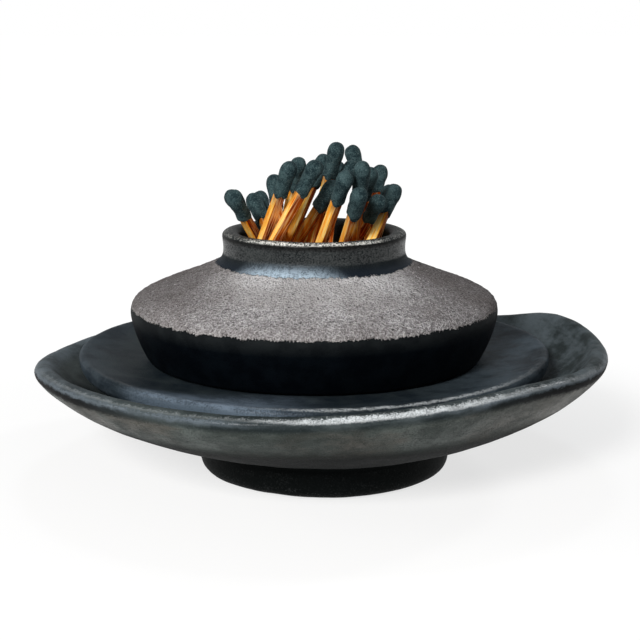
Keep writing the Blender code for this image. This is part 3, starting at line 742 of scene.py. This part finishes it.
# %% [markdown]
# ## The pot
# The shoulder needs points closer than the rest, because its grit shows against
# the light, so its faces are picked by place and subdivided once more. Then the
# clay moves: slow waves and small dents everywhere, and grit on the bare clay
# alone.

# %% Make the pot
SHOULDER_FROM = 0.40          # where closer points start, as a share of the pot's height
SHOULDER_TO = 0.74            # and where they end
EDGE_SHARE = 0.425            # where the bare clay starts
NECK_RADIUS = 22.0 * MM       # closer points lie outside this
NECK_FOOT_RADIUS = 23.3 * MM  # and bare clay outside this


def make_pot():
    piece = blank_from("striker_pot", "pot_thrown")
    smooth_by(piece, 2)
    shoulder_low = pot_low[2] + SHOULDER_FROM * pot_height
    shoulder_high = pot_low[2] + SHOULDER_TO * pot_height
    bpy.ops.object.mode_set(mode="EDIT")
    bpy.ops.mesh.select_all(action="DESELECT")
    bpy.ops.object.mode_set(mode="OBJECT")
    for face in piece.data.polygons:
        out = Vector((face.center.x - pot_axis.x, face.center.y - pot_axis.y, 0.0))
        on_shoulder = shoulder_low < face.center.z < shoulder_high and out.length > NECK_RADIUS
        face.select = on_shoulder and face.normal.dot(out.normalized()) > -0.2 and face.normal.z > -0.2
    bpy.ops.object.mode_set(mode="EDIT")
    bpy.ops.mesh.subdivide(number_cuts=1, smoothness=0.0)
    bpy.ops.object.mode_set(mode="OBJECT")

    points = points_of(piece)
    normals = normals_of(piece)
    side, depth, radius = from_axis(points, pot_axis)
    outside = (facing_out(normals, side, depth, radius) > -0.25) & (normals[:, 2] > -0.45)
    edge_height = pot_low[2] + EDGE_SHARE * pot_height
    band = np.minimum(points[:, 2] - edge_height, radius - NECK_FOOT_RADIUS)
    bare = np.where(outside & (points[:, 2] > edge_height - 4.0 * MM), band, -5.0 * MM)
    mark(piece, "bare", bare)
    mark(piece, "rim", rim_depth(piece, pot_axis))
    mark(piece, "crest", crest_of(piece, 1.3 * MM))

    wave = lumps(points, 26.0 * MM, 3.0) * 0.16 * MM
    dents = lumps(points, 7.0 * MM, 8.0) * 0.07 * MM
    inside_band = np.clip(bare / (0.5 * MM), 0.0, 1.0)
    grit = lumps(points, 1.2 * MM, 20.0) * 0.15 * MM + lumps(points, 0.55 * MM, 31.0) * 0.08 * MM
    grit = (grit + 0.06 * MM) * inside_band
    move_points(piece, points + normals * (wave + dents + grit)[:, None])
    bpy.ops.object.shade_smooth()
    piece.data.materials.append(pot_finish())
    print("pot", len(piece.data.polygons), "faces, bare clay on", round(float((bare > 0).mean()), 2))
    return piece


pot = make_pot()
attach(pot, "pot")
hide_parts("striker_pot")

# %% [markdown]
# ## The saucer and the dish
# The saucer has a thick edge. The dish is pressed out of round, and its wall
# waves more than the saucer's. Both get the same kind of satin
# glaze, darker and a shade bluer on the saucer.

# %% Make the saucer and the dish
def make_glazed(node, name, finish, wave_size, dent_size):
    piece = blank_from(node, name)
    smooth_by(piece, 2)
    points = points_of(piece)
    normals = normals_of(piece)
    foot = points[points[:, 2] < points[:, 2].min() + 0.5 * MM]
    mark(piece, "rim", rim_depth(piece, Vector(foot.mean(0))))
    mark(piece, "crest", crest_of(piece, 1.6 * MM))
    wave = lumps(points, 24.0 * MM, 5.0) * wave_size
    dents = lumps(points, 6.5 * MM, 11.0) * dent_size
    fine = lumps(points, 1.8 * MM, 17.0) * 0.03 * MM
    move_points(piece, points + normals * (wave + dents + fine)[:, None])
    bpy.ops.object.shade_smooth()
    piece.data.materials.append(finish)
    print(name, len(piece.data.polygons), "faces")
    return piece


saucer_glaze = glaze_finish("slate_glaze", deep=(0.007, 0.011, 0.015), thin=(0.021, 0.028, 0.031),
                            edge=(0.066, 0.090, 0.116), wall=((0.014, 0.017, 0.019), (0.018, 0.018, 0.017)),
                            foot_and_painted_shade=(0.002, 0.003, 0.003), band_end=4.0 * MM, line_span=(-0.10 * MM, 0.45 * MM),
                            line_level=(0.03, 0.36, 0.85), painted_shade_and_sheen=0.9)
saucer = make_glazed("saucer", "saucer_thrown", saucer_glaze, 0.12 * MM, 0.07 * MM)
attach(saucer, "saucer")
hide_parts("saucer")

dish_glaze = glaze_finish("black_glaze", deep=(0.017, 0.023, 0.024), thin=(0.050, 0.062, 0.062),
                          edge=(0.098, 0.120, 0.140), wall=((0.096, 0.117, 0.108), (0.086, 0.083, 0.070)),
                          foot_and_painted_shade=(0.002, 0.003, 0.003), band_end=2.2 * MM, line_span=(0.15 * MM, 1.35 * MM),
                          line_level=(0.04, 0.16, 0.90), painted_shade_and_sheen=0.0)
dish = make_glazed("dish", "dish_pressed", dish_glaze, 0.20 * MM, 0.10 * MM)
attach(dish, "dish")
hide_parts("dish")

# %% [markdown]
# ## Where each match lies
# A match draws out along its own length, so its joint's axis is its direction.
# The rest comes from the node: its lowest point along the axis is the foot, and
# the normal of a wide side tells how the square splint is rolled. The side that
# looks most to the front left, towards the key lamp, is taken as one of the pair
# of sides painted amber as if lit.

# %% Read the matches' places
match_names = sorted(name for name in frame["bodies"] if name.startswith("match_"))
draw_axis = {joint["child"]: Vector(joint["axis"]).normalized() for joint in frame["joints"]}


def reach_along(node, axis):
    """The lowest and highest place of a node along an axis."""
    places = [vertex.co.dot(axis) for vertex in nodes[node].data.vertices]
    return min(places), max(places)


# Towards the key lamp: the side that looks most this way is painted as lit.
KEY_LAMP_WAY = Vector((-0.75, -0.60, 0.25))


def match_place(name):
    """The matrix that lays a match modelled upright at the origin in its place."""
    axis = draw_axis[name]
    stick = nodes[name + "_stick"].data
    sides = [face for face in stick.polygons if abs(face.normal.dot(axis)) < 0.01]
    widest = max(face.area for face in sides)
    side = max((face.normal for face in sides if face.area > 0.9 * widest), key=KEY_LAMP_WAY.dot).normalized()
    across = axis.cross(side)
    foot = reach_along(name + "_stick", axis)[0] * axis
    for way in (side, across):
        low, high = reach_along(name + "_stick", way)
        foot = foot + way * (low + high) / 2.0
    turn = Matrix((side, across, axis)).transposed().to_4x4()
    return Matrix.Translation(foot) @ turn


first = match_names[0]
stick_low, stick_high = reach_along(first + "_stick", draw_axis[first])
head_low, head_high = reach_along(first + "_head", draw_axis[first])
splint_length = stick_high - stick_low
head_start = head_low - stick_low
head_length = head_high - head_low
print("splint", round(splint_length / MM, 1), "mm, head from", round(head_start / MM, 1), "mm up")

# %% [markdown]
# ## A splint
# A splint is split, not sawn, so it is nearly square and never quite straight. It
# starts as a square plane and is extruded upwards in short steps. Noise then
# shifts each step a little, and Bevel wears the arrises.

# %% Model the splint
SPLINT_SIDE = 2.1 * MM
SPLINT_STEPS = 14
SWAY_SIZE = 9.0 * MM       # how far apart the splint sways one way and the other
ARRIS_START = 0.82 * MM    # from the middle of a side to where its arris starts


def make_splint():
    bpy.ops.object.select_all(action="DESELECT")
    bpy.ops.mesh.primitive_plane_add(size=SPLINT_SIDE, location=(0.0, 0.0, 0.0))
    piece = bpy.context.active_object
    piece.name = "splint_blank"
    step = splint_length / SPLINT_STEPS
    bpy.ops.object.mode_set(mode="EDIT")
    bpy.ops.mesh.select_all(action="SELECT")
    for index in range(SPLINT_STEPS):
        bpy.ops.mesh.extrude_region_move(TRANSFORM_OT_translate={"value": (0.0, 0.0, step)})
    bpy.ops.mesh.select_all(action="SELECT")
    bpy.ops.mesh.normals_make_consistent(inside=False)
    bpy.ops.object.mode_set(mode="OBJECT")
    points = points_of(piece)
    sway = np.array([(noise.noise(Vector((0.0, 7.0, z / SWAY_SIZE))),
                      noise.noise(Vector((5.0, 0.0, z / SWAY_SIZE)))) for z in points[:, 2]])
    points[:, :2] += sway * 0.05 * MM
    move_points(piece, points)
    only(piece)
    on_edges = piece.modifiers.new("Arrises", "BEVEL")
    on_edges.width = 0.16 * MM
    on_edges.segments = 2
    on_edges.limit_method = "ANGLE"
    bpy.ops.object.modifier_apply(modifier=on_edges.name)
    points = points_of(piece)
    corner = np.minimum(abs(points[:, 0]), abs(points[:, 1]))
    mark(piece, "arris", np.clip((corner - ARRIS_START) / (0.12 * MM), 0.0, 1.0))
    # Painted light and shade: 1 on the pair of sides painted amber as if lit.
    mark(piece, "peeled", np.clip(0.5 + (abs(points[:, 0]) - abs(points[:, 1])) / (0.2 * MM), 0.0, 1.0))
    return piece


splint = make_splint()
print("splint", len(splint.data.polygons), "faces")

# %% [markdown]
# ## A head
# A head is a drop of compound that dried on the splint: square where it hugs the
# wood, a narrow waist, and a round bulb. Its rings are extruded from a circle,
# and the lower ones are pressed square. Each ring has a height and a width, both
# as shares, and a power: 2 keeps it round, and 4 makes it nearly square.

# %% Model the two kinds of head
HEAD_RINGS = {
    "club": ((0.00, 0.70, 4.0), (0.04, 0.75, 4.0), (0.16, 0.75, 3.6), (0.34, 0.75, 3.0), (0.50, 0.83, 2.4),
             (0.64, 0.95, 2.1), (0.77, 1.00, 2.0), (0.88, 0.88, 2.0), (0.955, 0.60, 2.0), (0.99, 0.28, 2.0)),
    "blunt": ((0.00, 0.73, 4.0), (0.04, 0.78, 4.0), (0.16, 0.80, 3.8), (0.30, 0.82, 3.2), (0.48, 0.89, 2.5),
              (0.64, 0.97, 2.2), (0.77, 0.99, 2.0), (0.88, 0.86, 2.0), (0.955, 0.58, 2.0), (0.99, 0.27, 2.0)),
}
HEAD_RADIUS = 2.05 * MM


def square_the_skirt(piece, rings):
    """Press each ring towards a square with round corners, as far as its power says."""
    points = points_of(piece)
    heights = [ring[0] * head_length for ring in rings]
    powers = [ring[2] for ring in rings]
    power = np.interp(points[:, 2], heights, powers)
    radius = np.hypot(points[:, 0], points[:, 1]).clip(0.001 * MM)
    across = (abs(points[:, 0]) / radius) ** power + (abs(points[:, 1]) / radius) ** power
    points[:, :2] *= (across ** (-1.0 / power))[:, None]
    move_points(piece, points)


def make_head(kind):
    bpy.ops.object.select_all(action="DESELECT")
    rings = HEAD_RINGS[kind]
    start = rings[0][1] * HEAD_RADIUS
    bpy.ops.mesh.primitive_circle_add(vertices=20, radius=start, fill_type="NGON", location=(0.0, 0.0, 0.0))
    piece = bpy.context.active_object
    piece.name = kind + "_blank"
    bpy.ops.object.mode_set(mode="EDIT")
    bpy.ops.mesh.select_all(action="SELECT")
    for (low, narrow, _), (high, wide, _) in zip(rings, rings[1:]):
        rise = (high - low) * head_length
        bpy.ops.mesh.extrude_region_move(TRANSFORM_OT_translate={"value": (0.0, 0.0, rise)})
        grow = wide / narrow
        bpy.ops.transform.resize(value=(grow, grow, 1.0), center_override=(0.0, 0.0, high * head_length))
    bpy.ops.mesh.extrude_region_move(TRANSFORM_OT_translate={"value": (0.0, 0.0, 0.01 * head_length)})
    bpy.ops.mesh.merge(type="CENTER")
    bpy.ops.mesh.select_all(action="SELECT")
    bpy.ops.mesh.normals_make_consistent(inside=False)
    bpy.ops.object.mode_set(mode="OBJECT")
    square_the_skirt(piece, rings)
    smooth_by(piece, 1)
    return piece


heads = {kind: make_head(kind) for kind in HEAD_RINGS}
print("head", len(heads["club"].data.polygons), "faces")

# %% [markdown]
# ## Laying the bundle
# Each match is a copy of the splint and of a head, with a mesh of its own. The
# matrix goes into the mesh, so the objects stay at the origin. Before that each
# splint keeps its upright coordinates as `grain`. Noise read at the place where a
# head lies makes each one a little different, and lets its skirt hang unevenly.

# %% Lay the matches
WAIST_LIMIT = 1.88 * MM        # corner to middle, between the two kinds of head
WAIST_FROM = 0.27              # where the waist starts, as a share of the head's length
WAIST_TO = 0.36                # and where it ends
GRAIN_APART = 50.0 * MM        # from one splint's grain to the next one's
SMOOTH_ANGLE = math.radians(40.0)

splint_wood = splint_finish(head_start)
compound = head_finish()


def kind_of(name, place):
    """Club heads are the narrow-waisted ones: the node's waist tells which it is."""
    upright = place.inverted()
    spots = [upright @ vertex.co for vertex in nodes[name + "_head"].data.vertices]
    waist = [math.hypot(spot.x, spot.y) for spot in spots
             if WAIST_FROM < (spot.z - head_start) / head_length < WAIST_TO]
    return "club" if max(waist) < WAIST_LIMIT else "blunt"


def copy_of(blank, name):
    """A copy of a blank, with a mesh of its own."""
    piece = bpy.data.objects.new(name, blank.data.copy())
    bpy.context.scene.collection.objects.link(piece)
    return piece


def keep_grain(piece, index):
    """Keep a splint's upright coordinates, each splint's apart from the others'."""
    own = points_of(piece)
    own[:, 0] += index * GRAIN_APART
    layer = piece.data.attributes.new("grain", "FLOAT_VECTOR", "POINT")
    layer.data.foreach_set("vector", own.astype(np.float32).ravel())


def lay(piece, place, finish):
    """Move an upright piece to its place and give it its finish."""
    piece.data.transform(place)
    piece.data.materials.append(finish)
    only(piece)
    bpy.ops.object.shade_smooth_by_angle(angle=SMOOTH_ANGLE)


def lay_match(index, name):
    place = match_place(name)
    stick = copy_of(splint, name + "_splint")
    keep_grain(stick, index)
    lay(stick, place, splint_wood)
    kind = kind_of(name, place)
    head = copy_of(heads[kind], name + "_bulb")
    head_place = place @ Matrix.Translation((0.0, 0.0, head_start))
    lay(head, head_place, compound)
    points = points_of(head)
    normals = normals_of(head)
    swell = lumps(points, 2.4 * MM, 2.0) * 0.16 * MM + lumps(points, 0.9 * MM, 9.0) * 0.05 * MM
    axis = np.array(draw_axis[name])
    up_head = (points - np.array(head_place.translation)) @ axis / head_length
    skirt = np.clip(1.0 - up_head / 0.30, 0.0, 1.0)
    hang = skirt * (0.35 + lumps(points, 1.5 * MM, 4.0) * 1.2) * 0.9 * MM
    move_points(head, points + normals * swell[:, None] - axis * hang[:, None])
    for piece, node, slot in ((stick, "_stick", "splint_wood"), (head, "_head", "match_head")):
        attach(piece, name)
        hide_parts(name + node)
    return kind


kinds = [lay_match(index, name) for index, name in enumerate(match_names)]
for blank in (splint, *heads.values()):
    bpy.data.objects.remove(blank)
print("matches", len(kinds), "of which club", kinds.count("club"))

# %% [markdown]
# ## Floor and light
# The floor is a plain white sheet. Seen by the camera, or mirrored in a glaze, it
# glows and so does the world behind it, which makes them white without throwing
# more light on the object. Near the pot the floor's glow is dimmer, so that the
# shadow shows.

# %% Rays that look, and rays that light
def seen_rays(tree):
    """1 for rays that look: from the camera, mirrored or let through. 0 for those that light."""
    rays = Signal(tree, None).node("LightPath", None, None, out="Is Camera Ray")
    glossy = Signal(tree, rays.socket.node.outputs["Is Glossy Ray"])
    through = Signal(tree, rays.socket.node.outputs["Is Transmission Ray"])
    return rays.maths("MAXIMUM", rays.maths("MAXIMUM", rays, glossy), through)


# %% [markdown]
# To the rays that light, the floor is a grey sheet. To those that look, it is a
# dark sheet that takes the shadow, plus the glow.

# %% Floor
def floor_finish():
    material, shader, place = new_finish("white_sheet")
    tree = material.node_tree
    set_shader(shader, Base_Color=(0.45, 0.45, 0.45), Roughness=0.9, Specular_IOR_Level=0.0)
    distance = place.node("VectorMath", {"operation": "LENGTH"}, {0: place}, out="Value")
    far = between(distance, 0.05, 0.20)
    sheet = place.node("BsdfDiffuse", None, {"Color": mix(far, (0.34, 0.34, 0.34), (0.05, 0.05, 0.05))})
    glow = place.node("Emission", None, {"Color": mix(far, (0.72, 0.72, 0.72), (1.0, 1.0, 1.0))})
    looked_at = place.node("AddShader", None, {0: sheet, 1: glow})
    lit = Signal(tree, shader.outputs[0])
    both = place.node("MixShader", None, {0: seen_rays(tree), 1: lit, 2: looked_at})
    tree.links.new(both.socket, tree.nodes["Material Output"].inputs["Surface"])
    return material


bpy.ops.object.select_all(action="DESELECT")
bpy.ops.mesh.primitive_plane_add(size=12.0, location=(0.0, 0.0, -0.05 * MM))
floor = bpy.context.active_object
floor.name = "floor"
floor.data.materials.append(floor_finish())
floor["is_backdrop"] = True


# %% [markdown]
# The world is white where it is seen, and almost dark as a light.

# %% World
ROOM_LIGHT = 0.07


def set_world(strength):
    """A white world, this strong as a light."""
    world = bpy.data.worlds.new("soft_room")
    bpy.context.scene.world = world
    world.use_nodes = True
    tree = world.node_tree
    background = tree.nodes["Background"]
    put(tree, background.inputs["Color"], (1.0, 1.0, 1.0))
    put(tree, background.inputs["Strength"], strength + seen_rays(tree) * (1.0 - strength))


set_world(ROOM_LIGHT)


# %% [markdown]
# Four lamps light the object: a soft key lamp in front on the left, a weak one at
# the far left, a cool one overhead and a little behind, and a small one behind on
# the right.

# %% Lamps
def add_lamp(name, turn, rise, distance, size, level, colour):
    """A soft square lamp, this many degrees to the camera's right and above level.

    At level 1 it lights a white card to white.
    """
    turn = math.radians(turn)
    rise = math.radians(rise)
    way = Vector((math.sin(turn) * math.cos(rise), -math.cos(turn) * math.cos(rise), math.sin(rise)))
    bpy.ops.object.light_add(type="AREA", location=pot_axis + way * distance)
    lamp = bpy.context.active_object
    lamp.name = name
    lamp.rotation_euler = way.to_track_quat("Z", "Y").to_euler()
    lamp.data.size = size
    lamp.data.energy = level * math.pi ** 2 * distance ** 2
    lamp.data.color = colour
    return lamp


add_lamp("key_lamp", -20.0, 27.0, 1.0, 0.24, 1.12, (1.0, 0.99, 0.975))
add_lamp("side_lamp", -82.0, 22.0, 0.9, 0.25, 0.14, (1.0, 0.98, 0.95))
add_lamp("top_lamp", 175.0, 66.0, 0.9, 0.15, 0.09, (0.88, 0.95, 1.0))
add_lamp("back_lamp", 122.0, 36.0, 0.9, 0.13, 0.15, (1.0, 1.0, 1.0))

# %% [markdown]
# ## The camera
# The photograph was taken from about twelve degrees above the table with a long
# lens. The lens follows from the picture's width: 640 pixels across 36 mm of
# sensor.

# %% Camera
CAMERA_DISTANCE = 0.350
CAMERA_TILT = math.radians(12.0)
AIM_SIDE = 1.35 * MM
AIM_HEIGHT = 35.5 * MM
PIXELS = 640.0
SENSOR = 36.0
PIXELS_PER_METRE = 1.0 / (0.24 * MM)

aim = Vector((pot_axis.x + AIM_SIDE, pot_axis.y, AIM_HEIGHT))
back = Vector((0.0, -math.cos(CAMERA_TILT), math.sin(CAMERA_TILT)))
bpy.ops.object.camera_add(location=aim + back * CAMERA_DISTANCE)
camera = bpy.context.active_object
camera.name = "camera"
camera.rotation_euler = (-back).to_track_quat("-Z", "Y").to_euler()
camera.data.sensor_width = SENSOR
camera.data.lens = SENSOR * CAMERA_DISTANCE * PIXELS_PER_METRE / PIXELS
camera.data.clip_start = 0.01
bpy.context.scene.camera = camera
bpy.context.scene.view_settings.view_transform = "Standard"
print("lens", round(camera.data.lens, 1), "mm")

# %% [markdown]
# ## The dressed model's size
# The box of everything shown but the floor is printed in millimetres.

# %% Finish
dressed_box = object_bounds()
for word, corner in zip(("from", "to"), dressed_box):
    print("dressed", word, [round(value / MM, 1) for value in corner])
